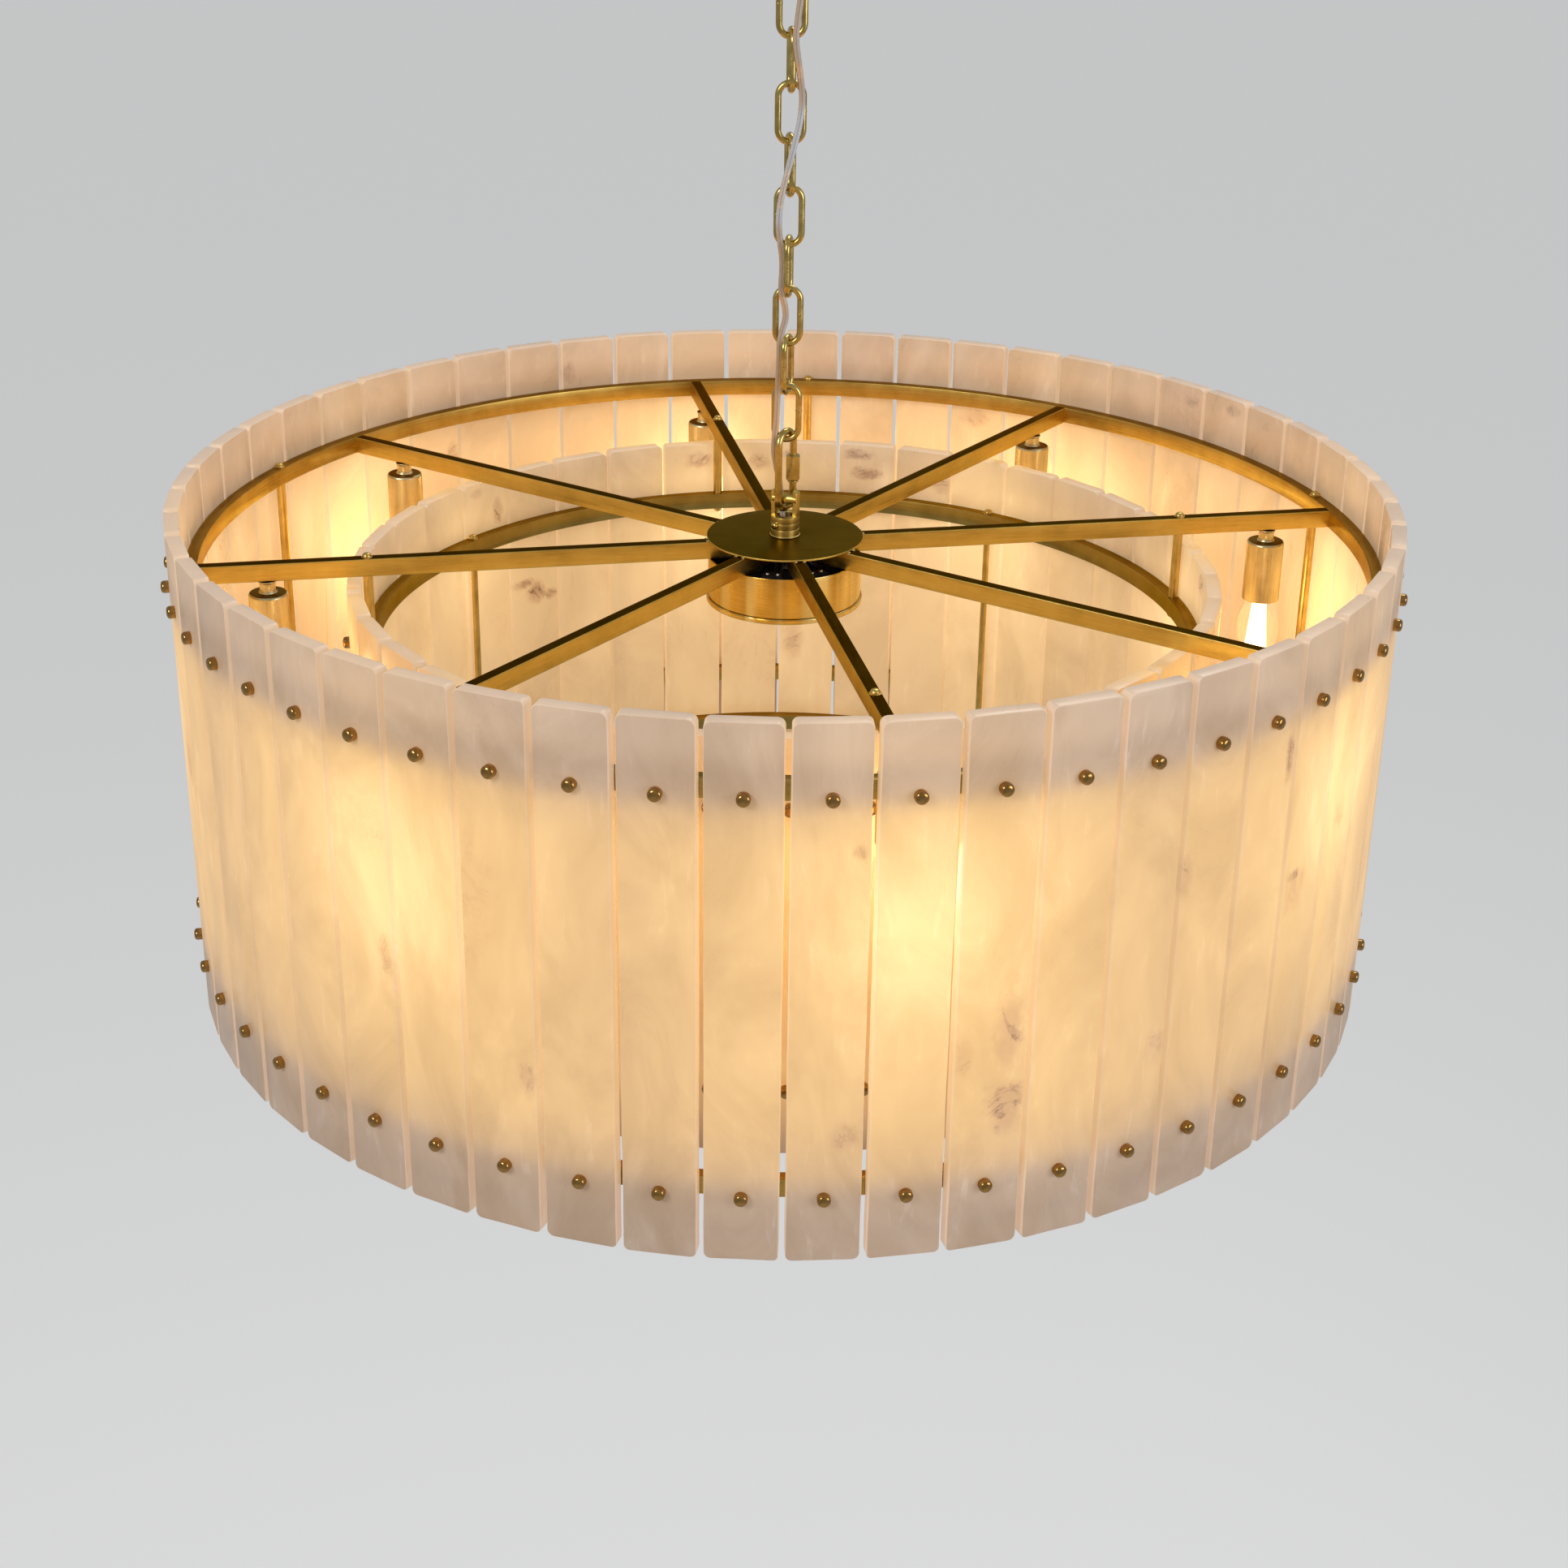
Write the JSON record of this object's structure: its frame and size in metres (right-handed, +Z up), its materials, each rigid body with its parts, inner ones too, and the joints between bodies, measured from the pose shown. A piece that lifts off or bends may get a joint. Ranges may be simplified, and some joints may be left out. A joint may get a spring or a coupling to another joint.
{
  "type": "chandelier",
  "caption": "Chandelier with concentric drums of upright alabaster slats on brass rings, candle lamps on brass spokes between them, hung by a brass link chain from a ceiling canopy",
  "frame": {"origin": "the middle of the mounting strap's upper face, on the ceiling plane", "axes": "+X to the right and +Y away, as seen from the front of the picture, +Z up into the ceiling"},
  "size_m": [1.0094, 1.0104, 0.8915],
  "materials": {
    "alabaster": "polished cloudy stone, translucent, with faint veins",
    "antique_brass": "brushed satin antique brass",
    "dark_brass": "dark patinated brass, satin",
    "polished_brass": "bright polished brass",
    "clear_bulb_glass": "clear glass with a warm glow",
    "clear_flex": "clear flexible sleeve over twin conductors",
    "zinc_steel": "zinc plated steel"
  },
  "bodies": {
    "ceiling": {"ceiling_canopy": "antique_brass", "canopy_strap": "zinc_steel", "canopy_loop": "antique_brass", "power_cord": "clear_flex"},
    "link_1": {"chain_link_1": "polished_brass"},
    "link_2": {"chain_link_2": "polished_brass"},
    "link_3": {"chain_link_3": "polished_brass"},
    "link_4": {"chain_link_4": "polished_brass"},
    "link_5": {"chain_link_5": "polished_brass"},
    "link_6": {"chain_link_6": "polished_brass"},
    "link_7": {"chain_link_7": "polished_brass"},
    "link_8": {"chain_link_8": "polished_brass"},
    "link_9": {"chain_link_9": "polished_brass"},
    "quick": {"quick_link": "polished_brass"},
    "quick_nut": {"quick_link_nut": "polished_brass"},
    "fixture": {"hanger_yoke": "antique_brass", "hub_plate": "dark_brass", "wiring_cup": "antique_brass", "wiring_cover": "antique_brass", "spoke_1": "dark_brass", "lampholder_1": "antique_brass", "spoke_2": "dark_brass", "lampholder_2": "antique_brass", "spoke_3": "dark_brass", "lampholder_3": "antique_brass", "spoke_4": "dark_brass", "lampholder_4": "antique_brass", "spoke_5": "dark_brass", "lampholder_5": "antique_brass", "spoke_6": "dark_brass", "lampholder_6": "antique_brass", "spoke_7": "dark_brass", "lampholder_7": "antique_brass", "spoke_8": "dark_brass", "lampholder_8": "antique_brass", "outer_top_ring": "antique_brass", "outer_slats": "alabaster", "outer_tie_rod_1": "antique_brass", "outer_tie_rod_2": "antique_brass", "outer_tie_rod_3": "antique_brass", "outer_tie_rod_4": "antique_brass", "outer_tie_rod_5": "antique_brass", "inner_top_ring": "antique_brass", "inner_slats": "alabaster", "hanger_rod_1": "antique_brass", "hanger_rod_2": "antique_brass", "hanger_rod_3": "antique_brass", "hanger_rod_4": "antique_brass", "inner_tie_rod_1": "antique_brass", "inner_tie_rod_2": "antique_brass", "inner_tie_rod_3": "antique_brass", "inner_tie_rod_4": "antique_brass"},
    "lamp_1": {"bulb_1": "clear_bulb_glass"},
    "lamp_2": {"bulb_2": "clear_bulb_glass"},
    "lamp_3": {"bulb_3": "clear_bulb_glass"},
    "lamp_4": {"bulb_4": "clear_bulb_glass"},
    "lamp_5": {"bulb_5": "clear_bulb_glass"},
    "lamp_6": {"bulb_6": "clear_bulb_glass"},
    "lamp_7": {"bulb_7": "clear_bulb_glass"},
    "lamp_8": {"bulb_8": "clear_bulb_glass"}
  },
  "joints": [
    {"name": "chain_hinge_1", "type": "hinge", "parent": "ceiling", "child": "link_1", "pos_m": [0, 0, -0.0711], "axis": [0, 1, 0], "range_deg": [-10, 10], "deforming": ["power_cord"]},
    {"name": "chain_hinge_2", "type": "hinge", "parent": "link_1", "child": "link_2", "pos_m": [0, 0, -0.1114], "axis": [1, 0, 0], "range_deg": [-10, 10]},
    {"name": "chain_hinge_3", "type": "hinge", "parent": "link_2", "child": "link_3", "pos_m": [0, 0, -0.1516], "axis": [0.1219, -0.9925, 0], "range_deg": [-10, 10]},
    {"name": "chain_hinge_4", "type": "hinge", "parent": "link_3", "child": "link_4", "pos_m": [0, 0, -0.1918], "axis": [1, 0, 0], "range_deg": [-10, 10]},
    {"name": "chain_hinge_5", "type": "hinge", "parent": "link_4", "child": "link_5", "pos_m": [0, 0, -0.232], "axis": [0.2079, -0.9781, 0], "range_deg": [-10, 10]},
    {"name": "chain_hinge_6", "type": "hinge", "parent": "link_5", "child": "link_6", "pos_m": [0, 0, -0.2722], "axis": [1, 0, 0], "range_deg": [-10, 10]},
    {"name": "chain_hinge_7", "type": "hinge", "parent": "link_6", "child": "link_7", "pos_m": [0, 0, -0.3124], "axis": [-0.1392, -0.9903, 0], "range_deg": [-10, 10]},
    {"name": "chain_hinge_8", "type": "hinge", "parent": "link_7", "child": "link_8", "pos_m": [0, 0, -0.3526], "axis": [1, 0, 0], "range_deg": [-10, 10]},
    {"name": "chain_hinge_9", "type": "hinge", "parent": "link_8", "child": "link_9", "pos_m": [0, 0, -0.3928], "axis": [-0.2924, -0.9563, 0], "range_deg": [-10, 10]},
    {"name": "quick_link_hinge", "type": "hinge", "parent": "link_9", "child": "quick", "pos_m": [0, 0, -0.433], "axis": [1, 0, 0], "range_deg": [-10, 10]},
    {"name": "fixture_hinge", "type": "hinge", "parent": "quick", "child": "fixture", "pos_m": [0, 0, -0.484], "axis": [1, 0, 0], "range_deg": [-8, 8]},
    {"name": "quick_nut_travel", "type": "slide", "parent": "quick", "child": "quick_nut", "axis": [0, 0, 1], "range_m": [0, 0.01]},
    {"name": "bulb_1_turn", "type": "hinge", "parent": "fixture", "child": "lamp_1", "pos_m": [0.08167, -0.42014, -0.5908], "axis": [0, 0, 1], "range_deg": [0, 1080]},
    {"name": "bulb_2_turn", "type": "hinge", "parent": "fixture", "child": "lamp_2", "pos_m": [0.35483, -0.23933, -0.5908], "axis": [0, 0, 1], "range_deg": [0, 1080]},
    {"name": "bulb_3_turn", "type": "hinge", "parent": "fixture", "child": "lamp_3", "pos_m": [0.42014, 0.08167, -0.5908], "axis": [0, 0, 1], "range_deg": [0, 1080]},
    {"name": "bulb_4_turn", "type": "hinge", "parent": "fixture", "child": "lamp_4", "pos_m": [0.23933, 0.35483, -0.5908], "axis": [0, 0, 1], "range_deg": [0, 1080]},
    {"name": "bulb_5_turn", "type": "hinge", "parent": "fixture", "child": "lamp_5", "pos_m": [-0.08167, 0.42014, -0.5908], "axis": [0, 0, 1], "range_deg": [0, 1080]},
    {"name": "bulb_6_turn", "type": "hinge", "parent": "fixture", "child": "lamp_6", "pos_m": [-0.35483, 0.23933, -0.5908], "axis": [0, 0, 1], "range_deg": [0, 1080]},
    {"name": "bulb_7_turn", "type": "hinge", "parent": "fixture", "child": "lamp_7", "pos_m": [-0.42014, -0.08167, -0.5908], "axis": [0, 0, 1], "range_deg": [0, 1080]},
    {"name": "bulb_8_turn", "type": "hinge", "parent": "fixture", "child": "lamp_8", "pos_m": [-0.23933, -0.35483, -0.5908], "axis": [0, 0, 1], "range_deg": [0, 1080]}
  ]
}
